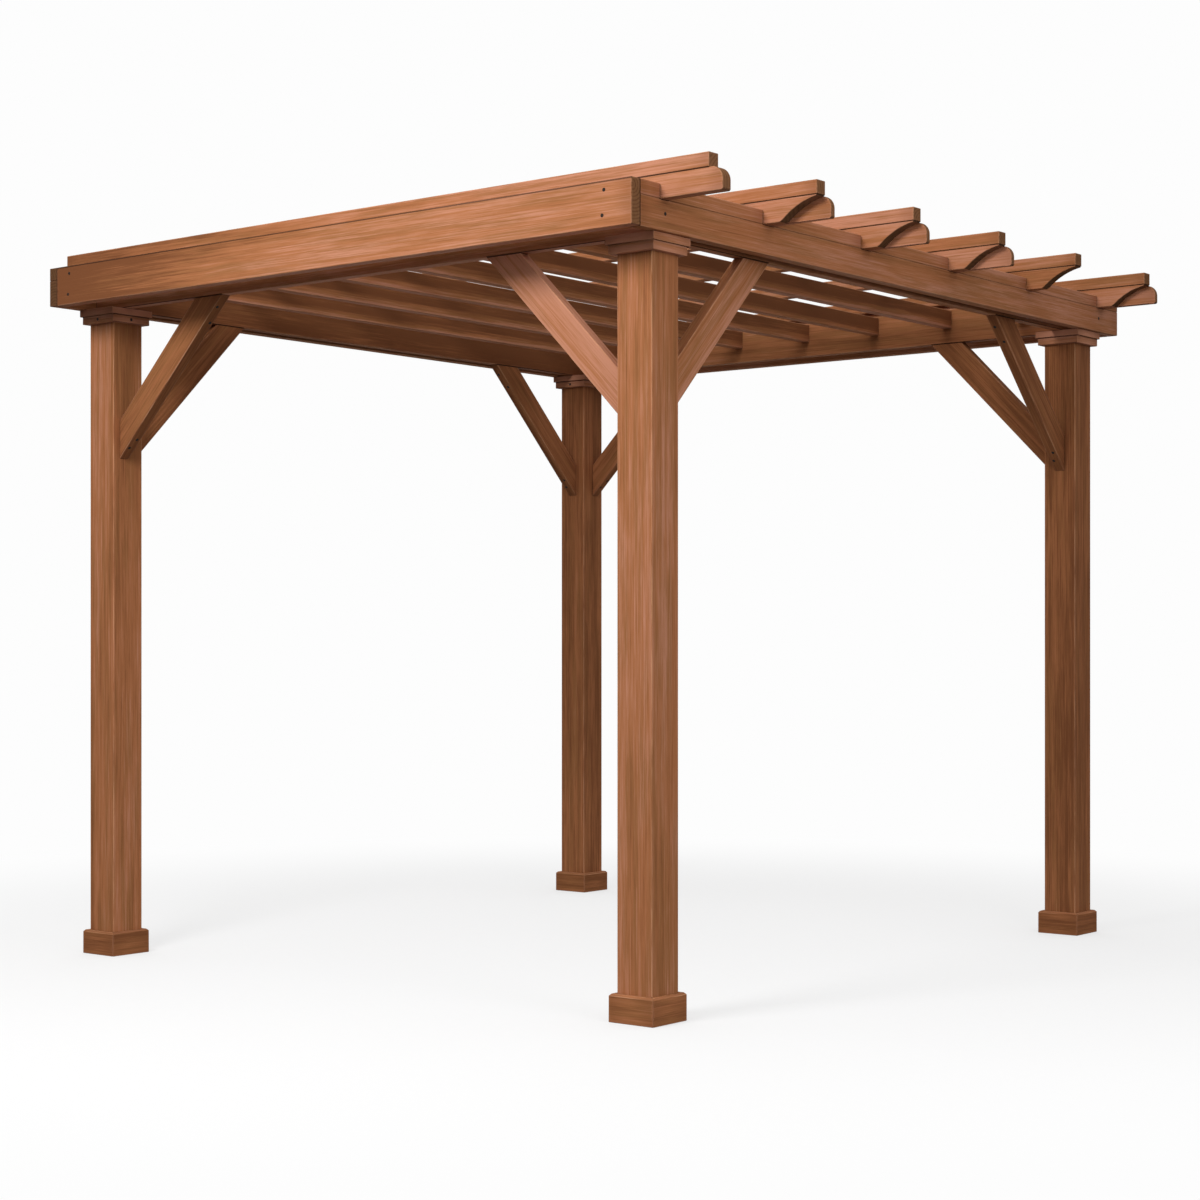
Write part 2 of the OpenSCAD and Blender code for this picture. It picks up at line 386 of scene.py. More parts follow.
def stained_wood(sizes):
    """Planed softwood under a red-brown stain, with grain that follows each board."""
    # Besides the stain and grain, this material carries painted shade and light through its tone,
    # arris and shade attributes.
    material, wood = new_finish("timber_stain")
    grain = wood.attribute("grain", "Vector")
    tone = wood.attribute("tone")
    sawn = wood.attribute("sawn")
    arris = wood.attribute("arris")
    joint = wood.attribute("joint")
    _, across, through = wood.split(grain)

    sway = wood.noise(wood.stretch(grain, (0.9, 5.0, 5.0)), detail=2.0)
    radius = wood.math("SQRT", across * across + through * through)
    turns = (radius + sway * 0.045) / sizes.ring
    rings = wood.math("SINE", turns * math.tau) * 0.5 + 0.5
    late_wood = rings ** 2.5

    noises = {}
    depth = tone + MAIN_TONE
    for name, (stretch, detail, roughness, pull) in GRAIN.items():
        noises[name] = wood.noise(wood.stretch(grain, stretch), detail, roughness)
        depth = depth + (noises[name] - 0.5) * pull
    streak, dash, fibre, blotch = (noises[name] for name in ("streak", "dash", "fibre", "blotch"))
    pore = wood.step(wood.noise(wood.stretch(grain, (16.0, 900.0, 900.0)), detail=1.0), 0.64, 0.78)
    depth = depth + late_wood * 0.07 + pore * 0.12
    hue = wood.noise(wood.stretch(grain, (2.2, 26.0, 26.0)), detail=3.0, roughness=0.6)
    body = wood.mix(wood.step(hue, 0.42, 0.62) * 0.75, sizes.body, sizes.olive)
    paler = wood.mix(wood.step(depth, 0.52, 0.05), body, sizes.pale)
    colour = wood.mix(wood.step(depth, 0.42, 1.05), paler, sizes.dark)

    knot, knot_eye, check = knots(wood, grain)
    colour = wood.mix(knot * 0.7, colour, KNOT_RING)
    colour = wood.mix(wood.math("MAXIMUM", knot_eye, check), colour, KNOT_EYE)

    edge, end = edge_distance(wood)
    rub = wood.noise(wood.stretch(grain, (9.0, 60.0, 60.0)), detail=3.0)
    damp = wood.step(end + (blotch - 0.5) * 0.06, 0.075, 0.0) * (1 - sawn)
    colour = wood.mix(damp * 0.35, colour, sizes.dark)

    soak = wood.noise(wood.stretch(grain, (40.0, 90.0, 90.0)), detail=3.0)
    end_rings = wood.mix(late_wood * 0.5 + (soak - 0.5) * 0.9, sizes.end, END_RING)
    colour = wood.mix(sawn * 0.92, colour, end_rings)

    # Edges: worn wood on the arrises and a pale band beside them, both lighter than wear as a
    # painted highlight.
    rubbed = arris * wood.step(rub, 0.34, 0.64) * (1 - sawn * 0.6) * (1 - joint)
    halo = wood.step(edge + (rub - 0.5) * 0.012, 0.007, 0.0) * (1 - arris)
    colour = wood.mix(rubbed * 0.60, colour, sizes.worn_and_highlit)
    colour = wood.mix(halo * 0.2, colour, sizes.pale)
    # Painted shade in the joints, under the shaped ends, on shaded end grain and along the beam
    # tops.
    colour = wood.mix(joint * 0.8, colour, JOINT_SHADOW)

    rough = 0.70 + (streak - 0.5) * 0.30 + sawn * 0.25 + pore * 0.12
    rough = rough + rubbed * 0.1 - late_wood * 0.06
    height = late_wood * 0.3 + fibre * 0.5 + dash * 0.4 + streak * 0.3
    height = height - pore * 0.35 - knot_eye * 0.8
    bump = wood.node("ShaderNodeBump", Height=height, Strength=0.5, Distance=sizes.bump)
    shader = wood.node(
        "ShaderNodeBsdfPrincipled", Base_Color=colour, Roughness=rough,
        Normal=wood.field(bump), IOR=1.42, Specular_IOR_Level=0.03)
    wood.node("ShaderNodeOutputMaterial", Surface=wood.field(shader))
    return material


def edge_distance(wood):
    """Distance from a point on a board to its nearest arris and to its nearer end, in metres."""
    place = wood.attribute("place", "Vector")
    half = wood.attribute("half", "Vector")
    away = [h - wood.math("ABSOLUTE", p) for p, h in zip(wood.split(place), wood.split(half))]
    low = wood.math("MINIMUM", away[0], away[1])
    high = wood.math("MAXIMUM", away[0], away[1])
    return wood.math("MAXIMUM", low, wood.math("MINIMUM", high, away[2])), away[0]


def knots(wood, grain):
    """Scattered small knots: the dark ring round each, its darker eye and the check across it."""
    spread = (1.25, 6.5, 0.001)
    cells = wood.node(
        "ShaderNodeTexVoronoi", {"voronoi_dimensions": "2D", "feature": "F1"},
        Vector=wood.stretch(grain, spread), Scale=1.0, Randomness=0.9)
    centre = wood.stretch(wood.field(cells, "Position"), (1 / spread[0], 1 / spread[1], 0.0))
    offset = wood.node(
        "ShaderNodeVectorMath", {"operation": "SUBTRACT"},
        Vector=wood.stretch(grain, (1.0, 1.0, 0.0)), Vector_001=centre)
    wobble = wood.noise(wood.stretch(grain, (70.0, 110.0, 110.0)), detail=1.0)
    reach = wood.field(wood.node(
        "ShaderNodeVectorMath", {"operation": "LENGTH"},
        Vector=wood.stretch(wood.field(offset), (0.62, 1.0, 1.0))), "Value")
    reach = reach + (wobble - 0.5) * 0.007
    chosen, size, _ = wood.split(wood.field(cells, "Color"))
    chosen = wood.step(chosen, 0.91, 0.93)
    width = 0.004 + size * 0.006
    ring = wood.step(reach / width, 1.5, 0.7) * chosen
    eye = wood.step(reach / width, 0.55, 0.3) * chosen
    along, aside, _ = wood.split(wood.field(offset))
    thin = wood.step(wood.math("ABSOLUTE", along + (wobble - 0.5) * 0.003), 0.0011, 0.0004)
    check = thin * wood.step(wood.math("ABSOLUTE", aside), 0.034, 0.012) * chosen * 0.75
    return ring, eye, check


def screw_metal(sizes):
    """Dark coated steel, rubbed brighter in places."""
    material, metal = new_finish("screw_metal")
    place = metal.field(metal.node("ShaderNodeTexCoord"), "Object")
    grime = metal.noise(metal.stretch(place, (900.0, 900.0, 900.0)), detail=2.0)
    colour = metal.mix(metal.step(grime, 0.5, 0.75), sizes.metal, RUBBED_METAL)
    rough = 0.60 + grime * 0.25
    bump = metal.node("ShaderNodeBump", Height=grime, Strength=0.2, Distance=0.0003)
    shader = metal.node(
        "ShaderNodeBsdfPrincipled", Base_Color=colour, Roughness=rough, Metallic=0.2,
        Normal=metal.field(bump), Specular_IOR_Level=0.2)
    metal.node("ShaderNodeOutputMaterial", Surface=metal.field(shader))
    return material


def floor_paper(sizes):
    """White paper floor that keeps a soft shadow near the posts and fades into the background."""
    material, paper = new_finish("floor_paper")
    place = paper.field(paper.node("ShaderNodeTexCoord"), "Object")
    length = paper.node("ShaderNodeVectorMath", {"operation": "LENGTH"}, Vector=place)
    far = paper.step(paper.field(length, "Value"), *SHADOW_FADE)
    mottle = paper.noise(paper.stretch(place, (30.0, 30.0, 30.0)), detail=2.0)
    grey = paper.mix(mottle, (sizes.paper * 0.98,) * 3, (sizes.paper * 1.02,) * 3)
    colour = paper.mix(far, grey, (0.0, 0.0, 0.0))
    shown = paper.mix(far, (sizes.glow,) * 3, (sizes.white,) * 3)
    glow = paper.mix(paper.seen(), (0.0, 0.0, 0.0), shown)
    shader = paper.node(
        "ShaderNodeBsdfPrincipled", Base_Color=colour, Roughness=1.0, Specular_IOR_Level=0.0,
        Emission_Color=glow, Emission_Strength=1.0)
    paper.node("ShaderNodeOutputMaterial", Surface=paper.field(shader))
    return material


def timber_copy(node):
    """A merged copy of a node's loose triangles, with its flat faces joined up."""
    bm = bmesh.new()
    bm.from_mesh(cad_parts[node].data)
    bmesh.ops.remove_doubles(bm, verts=bm.verts[:], dist=MERGE)
    join_flat(bm)
    return bm


def join_flat(bm):
    bmesh.ops.dissolve_limit(bm, angle_limit=FLAT, verts=bm.verts[:], edges=bm.edges[:])


def islands(bm):
    """The separate boards of a mesh, each as a list of its vertices."""
    seen = set()
    for start in bm.verts:
        if start in seen:
            continue
        seen.add(start)
        board = [start]
        for vert in board:
            for edge in vert.link_edges:
                other = edge.other_vert(vert)
                if other not in seen:
                    seen.add(other)
                    board.append(other)
        yield board


def ease_edges(bm, width):
    """Rounds the sharp edges and returns the faces of the arrises."""
    sharp = [e for e in bm.edges if len(e.link_faces) == 2 and e.calc_face_angle() > SHARP]
    made = bmesh.ops.bevel(
        bm, geom=sharp, offset=width, offset_type="OFFSET", segments=2, profile=0.6,
        affect="EDGES", clamp_overlap=True)
    return made["faces"]


def smooth_curves(bm, arrises):
    """Smooth shading on arrises and on the facets of round surfaces; flat faces stay flat."""
    eased = set(arrises)
    for face in eased:
        face.smooth = True
    for edge in bm.edges:
        if len(edge.link_faces) < 2 or eased.intersection(edge.link_faces):
            continue
        if FLAT < edge.calc_face_angle() < SHARP:
            for face in edge.link_faces:
                narrow = min(e.calc_length() for e in face.edges) < NARROW
                face.smooth = face.smooth or narrow


def tone_of(table, node):
    """The value that a table of tones holds for a node by the start of its name, or none."""
    return next((value for start, value in table.items() if node.startswith(start)), 0.0)


def dress_board(bm, verts, along, through, rng, node):
    """Writes one board's grain direction, place, size and tone on its vertices and faces."""
    layers = bm.verts.layers
    grain, place, half = (layers.float_vector[n] for n in ("grain", "place", "half"))
    tone = layers.float["tone"]
    sawn, joint = (bm.faces.layers.float[n] for n in ("sawn", "joint"))
    axes = (along, through.cross(along), through)
    spots = [Vector([v.co.dot(axis) for axis in axes]) for v in verts]
    low = Vector([min(s[i] for s in spots) for i in range(3)])
    high = Vector([max(s[i] for s in spots) for i in range(3)])
    middle, reach = (low + high) / 2, (high - low) / 2
    pith = rng.uniform(0.03, 0.16)
    turn = rng.uniform(0, math.tau)
    shift = Vector((rng.uniform(0, 90), pith * math.cos(turn), pith * math.sin(turn)))
    # The board's painted shade or light from the table above, plus a random spread of real tone.
    shade = tone_of(PAINTED_SHADE_AND_LIGHT, node) + rng.uniform(-SHADE_SPREAD, SHADE_SPREAD)
    near, far = PAINTED_FADES.get(node, (0.0, 0.0))
    under = tone_of(PAINTED_UNDERSIDE_LIGHT, node)
    bottom = min(v.co.z for v in verts) + (REACH if node == "joists" else MERGE)
    for vert, spot in zip(verts, spots):
        vert[place] = spot - middle
        vert[grain] = spot - middle + shift
        vert[half] = reach
        # Tone carries painted shade and light: the board's painted tone, its painted fade along its
        # length and painted light on its underside.
        share = (spot - middle)[0] / reach[0]
        fade = max(-share, 0.0) * near + max(share, 0.0) * far
        vert[tone] = shade + fade + (under if vert.co.z < bottom else 0.0)
    for face in {f for v in verts for f in v.link_faces}:
        lean = abs(face.normal.dot(along))
        face[sawn] = min(1.0, max(0.0, (lean - END_STARTS) / END_SPAN))
        # Painted shade on end faces that look down, under the shaped ends, and on the end grain of
        # the left side beam and blocking.
        if face.normal.z < LOOKS_DOWN and lean > END_STARTS:
            face[joint] = max(face[joint], UNDERCUT_SHADE)
        if face[sawn] == 1.0:
            face[joint] = max(face[joint], SHADED_END_GRAIN.get(node, 0.0))


def add_layers(bm):
    for name in ("grain", "place", "half"):
        bm.verts.layers.float_vector.new(name)
    bm.verts.layers.float.new("tone")
    bm.faces.layers.float.new("sawn")
    bm.faces.layers.float.new("arris")
    bm.faces.layers.float.new("joint")


def seat_piece(bm, name, node, material):
    """Turns a dressed mesh into the piece that stands for its node."""
    mesh = bpy.data.meshes.new(name)
    bm.normal_update()
    bm.to_mesh(mesh)
    bm.free()
    mesh.attributes.remove(mesh.attributes["custom_normal"])
    mesh.materials.append(material)
    piece = bpy.data.objects.new(name, mesh)
    bpy.context.scene.collection.objects.link(piece)
    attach(piece, BODY)
    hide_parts(node)
    return piece


def dress(node, along, through):
    """One node's boards, eased, grained and seated in its place."""
    bm = timber_copy(node)
    if along in (X, Y, Z):
        cut_at_joints(bm, node, along)
    low, high = (Vector(corner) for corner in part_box(node))
    # Cuts for painted light and shade: the middle of a board that fades, the top of the painted lit
    # band up the joists, and the painted shadow line along an outer beam's top.
    if node in PAINTED_FADES:
        cut_across(bm, along, (low + high).dot(along) / 2)
    if node == "joists":
        cut_across(bm, Z, low.z + LIT_BAND)
    if node.endswith("_outer"):
        cut_across(bm, Z, high.z - TOP_SHADOW_WIDTH)
    eased = bpy.context.scene.pergola_timber.arris
    return finish_boards(bm, node, lambda verts: (along, through), eased)


def finish_boards(bm, node, lie, eased):
    """Eases the boards of a mesh and gives each its grain; lie says how a board's grain runs."""
    add_layers(bm)
    middles = [(middle_of(board), lie(board)) for board in islands(bm)]
    arrises = ease_edges(bm, eased)
    bm.normal_update()
    smooth_curves(bm, arrises)
    rubbed, joint = (bm.faces.layers.float[name] for name in ("arris", "joint"))
    near = neighbours(node)
    # Painted shade lines on the arrises where a board touches another node's board.
    for face in arrises:
        spot = face.calc_center_median()
        # Arris faces take the worn wood and its painted highlight.
        face[rubbed] = 1.0
        lines = [line_depth(node, name) for name, box in near if inside(spot, box, REACH)]
        face[joint] = max(lines, default=0.0)
    # Painted shadow line along the top of an outer beam, under the strip.
    for face in bm.faces:
        face[joint] = max(face[joint], top_edge_shadow(node, face.calc_center_median()))
    rng = random.Random(node)
    for board in sorted(islands(bm), key=lambda verts: [round(c, 3) for c in middle_of(verts)]):
        centre = middle_of(board)
        _, way = min(middles, key=lambda middle: (middle[0] - centre).length)
        dress_board(bm, board, *way, rng, node)
    return seat_piece(bm, f"timber_{node}", node, wood_material())


def middle_of(verts):
    return sum((v.co for v in verts), Vector()) / len(verts)


def box_of(verts):
    """Lowest and highest corners of some vertices."""
    return [Vector([pick(v.co[axis] for v in verts) for axis in range(3)]) for pick in (min, max)]


def inside(point, box, slack):
    return all(box[0][axis] - slack <= point[axis] <= box[1][axis] + slack for axis in range(3))


def line_depth(node, other):
    """Depth of painted shade between two boards, faint where the blocking lies on its side beam."""
    seams = [{f"blocking_{hand}", f"beam_{hand}_lower"} for hand in ("left", "right")]
    return FAINT_SEAM if {node, other} in seams else 1.0


def top_edge_shadow(node, spot):
    """Painted shadow line along the top outer edge of front and back beams, where a strip lies
    close.
    """
    if not node.endswith("_outer"):
        return 0.0
    low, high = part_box(node)
    face = low[1] if node == "beam_front_outer" else high[1]
    at_top = high[2] - TOP_SHADOW_WIDTH < spot.z < high[2] - MERGE
    return TOP_SHADOW if at_top and abs(spot.y - face) < REACH else 0.0


def neighbours(node):
    """Names and boxes of the other nodes' boards that touch this node."""
    if not BOARDS:
        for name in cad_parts:
            bm = timber_copy(name)
            BOARDS.extend((name, box_of(board)) for board in islands(bm))
            bm.free()
    own = [Vector(corner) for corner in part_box(node)]
    return [
        (name, box) for name, box in BOARDS
        if name != node and all(
            box[0][axis] <= own[1][axis] + REACH and own[0][axis] <= box[1][axis] + REACH
            for axis in range(3))]


def cut_at_joints(bm, node, along):
    """Cuts across the boards of a node where its neighbours begin and end."""
    axis = max(range(3), key=lambda a: abs(along[a]))
    places = {round(corner[axis], 4) for _, box in neighbours(node) for corner in box}
    low, high = (corner[axis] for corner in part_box(node))
    for place in sorted(places):
        if low + 2 * REACH < place < high - 2 * REACH:
            cut_across(bm, along, place)


def cut_across(bm, along, place):
    """Adds edges where a plane across the boards meets them."""
    geometry = bm.verts[:] + bm.edges[:] + bm.faces[:]
    bmesh.ops.bisect_plane(bm, geom=geometry, dist=MERGE, plane_co=along * place, plane_no=along)


def wood_material():
    return bpy.data.materials.get("timber_stain") or stained_wood(bpy.context.scene.pergola_timber)


def mitred_ring(node, levels):
    """A square ring cut into four mitred boards at each level, joined at the corners."""
    low, high = (Vector(corner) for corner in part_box(node))
    middle = (low + high) / 2
    whole = bmesh.new()
    ways = []
    for bottom, top in zip([low.z, *levels], [*levels, high.z]):
        for out in (X, Y, -X, -Y):
            side = Z.cross(out)
            board = timber_copy(node)
            for normal in (side - out, -side - out):
                cut_away(board, middle, normal)
            cut_away(board, Vector((0, 0, bottom)), -Z)
            cut_away(board, Vector((0, 0, top)), Z)
            join_flat(board)
            mesh = bpy.data.meshes.new("mitred_board")
            board.to_mesh(mesh)
            board.free()
            whole.from_mesh(mesh)
            bpy.data.meshes.remove(mesh)
            ways.append(((out, (bottom + top) / 2), (side, out)))

    def lie(verts):
        centre = middle_of(verts) - middle
        nearest = min(
            ways,
            key=lambda w: abs(centre.z + middle.z - w[0][1]) * LEVEL_WEIGHT - centre.dot(w[0][0]))
        return nearest[1]

    return finish_boards(whole, node, lie, bpy.context.scene.pergola_timber.trim_arris)


def cut_away(bm, point, normal):
    """Removes what lies on the normal's side of a plane and closes the cut."""
    geometry = bm.verts[:] + bm.edges[:] + bm.faces[:]
    cut = bmesh.ops.bisect_plane(
        bm, geom=geometry, dist=MERGE, plane_co=point, plane_no=normal.normalized(),
        clear_outer=True)
    edges = [e for e in cut["geom_cut"] if isinstance(e, bmesh.types.BMEdge) and e.is_boundary]
    if edges:
        bmesh.ops.holes_fill(bm, edges=edges, sides=0)
        bmesh.ops.recalc_face_normals(bm, faces=bm.faces[:])


def brace_way(node):
    """Grain of a brace: up its slope from the post to the beam."""
    _, side, hand, run = node.split("_")
    out = (X if hand == "left" else -X) if run == "x" else (Y if side == "front" else -Y)
    return (out + Z).normalized(), (Y if run == "x" else X)


class DressPosts(bpy.types.Operator):
    """Dress the four posts"""

    bl_idname = "pergola.dress_posts"
    bl_label = "Posts"

    def execute(self, context):
        for corner in CORNERS:
            dress(f"post_{corner}", Z, Y)
        return {"FINISHED"}


class DressCollars(bpy.types.Operator):
    """Dress the mitred collars round the post feet"""

    bl_idname = "pergola.dress_collars"
    bl_label = "Base Collars"

    def execute(self, context):
        for corner in CORNERS:
            mitred_ring(f"base_{corner}", [])
        return {"FINISHED"}


class DressCapitals(bpy.types.Operator):
    """Dress the two mitred mouldings at the head of each post"""

    bl_idname = "pergola.dress_capitals"
    bl_label = "Capitals"

    def execute(self, context):
        for corner in CORNERS:
            node = f"capital_{corner}"
            mitred_ring(node, [moulding_step(node)])
        return {"FINISHED"}


def moulding_step(node):
    """Height at which the lower moulding meets the upper one."""
    low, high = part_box(node)
    heights = sorted({round(v.co.z, 5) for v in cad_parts[node].data.vertices})
    inner = [z for z in heights if low[2] + MERGE < z < high[2] - MERGE]
    return inner[0]


class DressBeams(bpy.types.Operator):
    """Dress the outer and inner beams and the notched blocking over the side beams"""

    bl_idname = "pergola.dress_beams"
    bl_label = "Beams"

    def execute(self, context):
        for side in ("front", "back"):
            for ring in ("outer", "inner"):
                dress(f"beam_{side}_{ring}", X, Y)
        for hand in ("left", "right"):
            for node in (f"beam_{hand}_lower", f"beam_{hand}_inner", f"blocking_{hand}"):
                dress(node, Y, X)
        return {"FINISHED"}


class DressJoists(bpy.types.Operator):
    """Dress the joists between the front and back beams"""

    bl_idname = "pergola.dress_joists"
    bl_label = "Joists"

    def execute(self, context):
        dress("joists", Y, X)
        return {"FINISHED"}


class DressBraces(bpy.types.Operator):
    """Dress the knee braces between posts and beams"""

    bl_idname = "pergola.dress_braces"
    bl_label = "Knee Braces"

    def execute(self, context):
        for corner in CORNERS:
            for run in ("x", "y"):
                node = f"brace_{corner}_{run}"
                dress(node, *brace_way(node))
        return {"FINISHED"}


class DressRoof(bpy.types.Operator):
    """Dress the cross strips, the round-ended boards and the shaped tails"""

    bl_idname = "pergola.dress_roof"
    bl_label = "Strips and Tails"

    def execute(self, context):
        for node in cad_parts:
            if node.startswith(("strip_", "round_", "ogee_")):
                dress(node, X, Y)
        return {"FINISHED"}


class FitScrews(bpy.types.Operator):
    """Fit the dark screws in the braces, the left capitals and the beam ends"""

    bl_idname = "pergola.fit_screws"
    bl_label = "Screws"

    def execute(self, context):
        sizes = context.scene.pergola_screws
        piece = screw_points(context, screw_places())
        heads = piece.modifiers.new("screw_heads", "NODES")
        heads.node_group = screw_tree(screw_metal(sizes))
        values = {"Head Diameter": sizes.head, "Head Rise": sizes.rise, "Turn Seed": sizes.seed}
        for item in heads.node_group.interface.items_tree:
            if item.name in values:
                heads[item.identifier] = values[item.name]
        graph = context.evaluated_depsgraph_get()
        mesh = bpy.data.meshes.new_from_object(piece.evaluated_get(graph), depsgraph=graph)
        piece.modifiers.clear()
        piece.data = mesh
        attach(piece, BODY)
        return {"FINISHED"}


def screw_places():
    """Where each screw enters and the way its head faces."""
    places = []
    for corner in CORNERS:
        for run in ("x", "y"):
            places += brace_screws(f"brace_{corner}_{run}")
    for side in ("front", "back"):
        capital = f"capital_{side}_left"
        low, high = (Vector(c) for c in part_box(capital))
        spot = (low + high) / 2
        spot.z = (low.z + moulding_step(capital)) / 2
        reach = lower_moulding_reach(capital)
        places += [(spot + out * reach, out) for out in (X, Y, -X, -Y)]
    for corner in CORNERS:
        side, hand = corner.split("_")
        post = sum((Vector(c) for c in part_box(f"post_{corner}")), Vector()) / 2
        low, high = (Vector(c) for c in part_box(f"beam_{side}_outer"))
        face = low.y if side == "front" else high.y
        for share in BEAM_SCREWS:
            aside = post.x + BEAM_STAGGER * (share - 0.5)
            spot = Vector((aside, face, low.z + (high.z - low.z) * share))
            places.append((spot, -Y if side == "front" else Y))
        low, high = (Vector(c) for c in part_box(f"beam_{hand}_lower"))
        face = low.x if hand == "left" else high.x
        height = low.z + (high.z - low.z) * SIDE_SCREW_HEIGHT
        spot = Vector((face, post.y * SIDE_SCREW_PAST, height))
        places.append((spot, -X if hand == "left" else X))
    return places


def brace_screws(node):
    """Two screws near each end of a brace's underside, a little off its middle by turns."""
    low, high = (Vector(c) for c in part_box(node))
    up, through = brace_way(node)
    out = Vector((up.x, up.y, 0)).normalized()
    middle = (low + high) / 2
    foot = middle - out * abs((high - low).dot(out)) / 2
    foot.z = low.z
    length = (high.z - low.z) * math.sqrt(2)
    ways = [*FOOT_SCREWS, *(length - back for back in HEAD_SCREWS)]
    spots = [foot + up * way + through * aside for way, aside in zip(ways, SCREWS_ASIDE)]
    return [(spot, (out - Z).normalized()) for spot in spots]


def lower_moulding_reach(node):
    """Distance from the post's centre line to the face of the lower moulding."""
    low, high = (Vector(c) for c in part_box(node))
    feet = [v.co.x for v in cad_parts[node].data.vertices if v.co.z < low.z + MERGE]
    return max(feet) - (low.x + high.x) / 2


def screw_points(context, places):
    """A mesh of one point for each screw, with the way its head faces."""
    mesh = bpy.data.meshes.new("screws")
    mesh.from_pydata([spot for spot, _ in places], [], [])
    aims = mesh.attributes.new("aim", "FLOAT_VECTOR", "POINT")
    for item, (_, aim) in zip(aims.data, places):
        item.vector = aim
    piece = bpy.data.objects.new("screws", mesh)
    context.scene.collection.objects.link(piece)
    return piece


def screw_tree(metal):
    """Geometry nodes that put a low head with a cross recess on every point."""
    tree = bpy.data.node_groups.new("screw_heads", "GeometryNodeTree")
    tree.interface.new_socket("Points", in_out="INPUT", socket_type="NodeSocketGeometry")
    for name, kind in (("Head Diameter", "Float"), ("Head Rise", "Float"), ("Turn Seed", "Int")):
        tree.interface.new_socket(name, in_out="INPUT", socket_type=f"NodeSocket{kind}")
    tree.interface.new_socket("Screws", in_out="OUTPUT", socket_type="NodeSocketGeometry")
    bench = Bench(tree)
    given = bench.node("NodeGroupInput")
    head, rise = bench.field(given, "Head Diameter"), bench.field(given, "Head Rise")

    lift = bench.field(bench.node("ShaderNodeCombineXYZ", Z=rise))

    def slot(length, width):
        size = bench.node(
            "ShaderNodeCombineXYZ", X=head * length, Y=head * width, Z=rise * RECESS_DEPTH)
        box = bench.node("GeometryNodeMeshCube", Size=bench.field(size))
        raised = bench.node("GeometryNodeTransform", Geometry=bench.field(box), Translation=lift)
        return bench.field(raised)

    cap = bench.node(
        "GeometryNodeMeshCone", Vertices=HEAD_SIDES, Radius_Bottom=head * 0.5,
        Radius_Top=head * HEAD_TOP, Depth=rise)
    slots = [slot(RECESS_LENGTH, RECESS_WIDTH), slot(RECESS_WIDTH, RECESS_LENGTH)]
    cut = bench.node(
        "GeometryNodeMeshBoolean", {"operation": "DIFFERENCE", "solver": "EXACT"},
        Mesh_1=bench.field(cap), Mesh_2=slots)
    aim = bench.node("GeometryNodeInputNamedAttribute", {"data_type": "FLOAT_VECTOR"}, Name="aim")
    faced = bench.node("FunctionNodeAlignRotationToVector", {"axis": "Z"}, Vector=bench.field(aim))
    angle = bench.node(
        "FunctionNodeRandomValue", {"data_type": "FLOAT"}, Max_001=math.tau,
        Seed=bench.field(given, "Turn Seed"))
    turn = bench.node(
        "FunctionNodeAxisAngleToRotation", Axis=(0, 0, 1), Angle=bench.field(angle, 1))
    turned = bench.node(
        "FunctionNodeRotateRotation", {"rotation_space": "LOCAL"},
        Rotation=bench.field(faced), Rotate_By=bench.field(turn))
    placed = bench.node(
        "GeometryNodeInstanceOnPoints", Points=bench.field(given, "Points"),
        Instance=bench.field(cut), Rotation=bench.field(turned))
    real = bench.node("GeometryNodeRealizeInstances", Geometry=bench.field(placed))
    finished = bench.node("GeometryNodeSetMaterial", Geometry=bench.field(real), Material=metal)
    bench.node("NodeGroupOutput", Screws=bench.field(finished))
    return tree


class SetStage(bpy.types.Operator):
    """Lay the floor and set up the lamps and the camera"""

    bl_idname = "pergola.set_stage"
    bl_label = "Stage"

    def execute(self, context):
        sizes = context.scene.pergola_stage
        lay_floor(context, sizes)
        light_dome(context, sizes)
        hang_lamp(context, "key_lamp", sizes.key, sizes.key_place, KEY_AIM)
        hang_lamp(context, "side_lamp", sizes.side, sizes.side_place, SIDE_AIM)
        stand_camera(context, sizes)
        context.scene.view_settings.view_transform = "Standard"
        return {"FINISHED"}


def lay_floor(context, sizes):
    bm = bmesh.new()
    bmesh.ops.create_circle(bm, cap_ends=True, segments=FLOOR_SIDES, radius=FLOOR_RADIUS)
    bmesh.ops.translate(bm, verts=bm.verts[:], vec=(0, 0, -FLOOR_DROP))
    mesh = bpy.data.meshes.new("floor")
    bm.to_mesh(mesh)
    bm.free()
    mesh.materials.append(floor_paper(sizes))
    floor = bpy.data.objects.new("floor", mesh)
    context.scene.collection.objects.link(floor)


def light_dome(context, sizes):
    """Soft light from all round, with a white background where it is seen or mirrored."""
    world = bpy.data.worlds.new("dome")
    world.use_nodes = True
    context.scene.world = world
    sky = Bench(world.node_tree)
    right, back, up = sky.split(sky.field(sky.node("ShaderNodeTexCoord"), "Generated"))
    light = sizes.dome + sky.math("MAXIMUM", up, 0.0) * sizes.zenith
    light = light + sky.math("MAXIMUM", right, 0.0) * sizes.fill
    light = light + sky.math("MAXIMUM", (back - right) * math.sqrt(0.5), 0.0) * sizes.back
    light = light + sky.math("MAXIMUM", 0.0 - back, 0.0) * sizes.front
    strength = light + sky.seen() * (sizes.white - light)
    shader = sky.node("ShaderNodeBackground", Color=(1, 1, 1, 1), Strength=strength)
    sky.node("ShaderNodeOutputWorld", Surface=sky.field(shader))


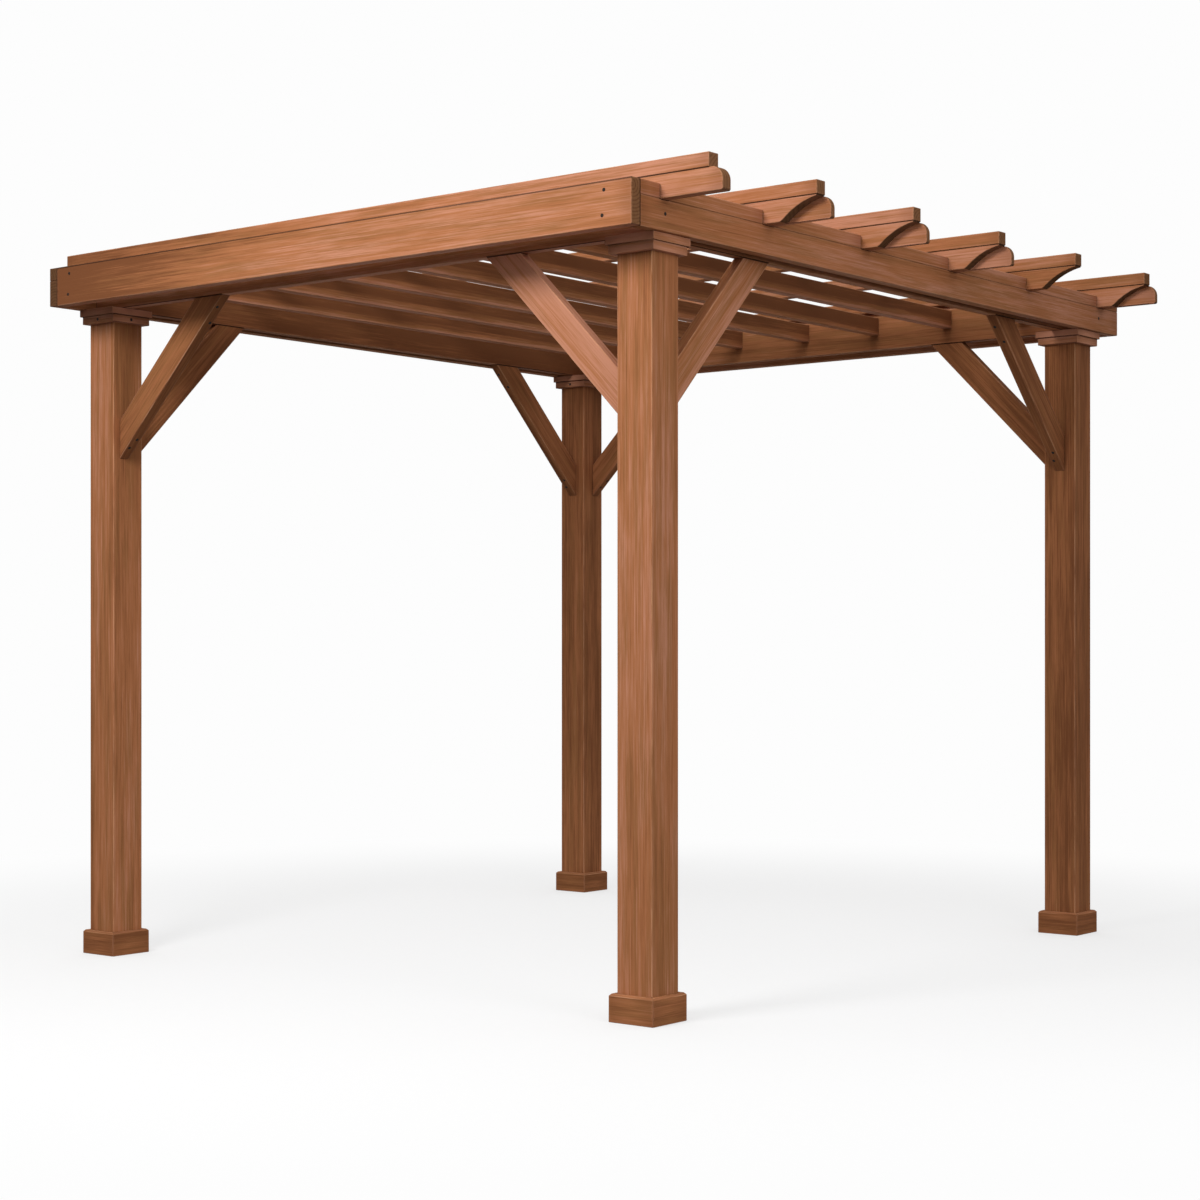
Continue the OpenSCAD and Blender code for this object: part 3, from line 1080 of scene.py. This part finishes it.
def hang_lamp(context, name, power, place, target):
    """A large soft lamp turned towards its target, out of sight itself."""
    data = bpy.data.lights.new(name, "AREA")
    data.shape = "DISK"
    data.size = LAMP_WIDTH
    data.energy = power
    lamp = bpy.data.objects.new(name, data)
    context.scene.collection.objects.link(lamp)
    lamp.location = place
    aim = Vector(target) - Vector(place)
    lamp.rotation_euler = aim.to_track_quat("-Z", "Y").to_euler()
    lamp.visible_camera = False


def stand_camera(context, sizes):
    data = bpy.data.cameras.new("camera")
    data.sensor_width = SENSOR
    data.lens = sizes.lens
    data.shift_y = sizes.rise
    data.clip_start, data.clip_end = CLIP
    camera = bpy.data.objects.new("camera", data)
    context.scene.collection.objects.link(camera)
    camera.location = sizes.eye
    camera.rotation_euler = (math.pi / 2, 0.0, sizes.yaw)
    context.scene.camera = camera


class PergolaPanel(bpy.types.Panel):
    """Lists the steps that dress the pergola"""

    bl_idname = "PERGOLA_PT_parts"
    bl_label = "Timber Pergola"
    bl_space_type = "VIEW_3D"
    bl_region_type = "UI"
    bl_category = "Pergola"

    def draw(self, context):
        for step in STEPS:
            self.layout.operator(step.bl_idname)
        for group in GROUPS:
            sizes = getattr(context.scene, group)
            box = self.layout.box()
            for name in sizes.__annotations__:
                box.prop(sizes, name)


GROUPS = {"pergola_timber": TimberSizes, "pergola_screws": ScrewSizes, "pergola_stage": StageSizes}
STEPS = [
    DressPosts, DressCollars, DressCapitals, DressBeams, DressJoists, DressBraces, DressRoof,
    FitScrews, SetStage,
]


def register():
    for cls in [*GROUPS.values(), *STEPS, PergolaPanel]:
        bpy.utils.register_class(cls)
    for name, group in GROUPS.items():
        setattr(bpy.types.Scene, name, PointerProperty(type=group))


def unregister():
    for name in GROUPS:
        delattr(bpy.types.Scene, name)
    for cls in reversed([*GROUPS.values(), *STEPS, PergolaPanel]):
        bpy.utils.unregister_class(cls)


def main():
    register()
    bpy.ops.pergola.dress_posts()
    bpy.ops.pergola.dress_collars()
    bpy.ops.pergola.dress_capitals()
    bpy.ops.pergola.dress_beams()
    bpy.ops.pergola.dress_joists()
    bpy.ops.pergola.dress_braces()
    bpy.ops.pergola.dress_roof()
    bpy.ops.pergola.fit_screws()
    bpy.ops.pergola.set_stage()


if __name__ == "__main__":
    main()
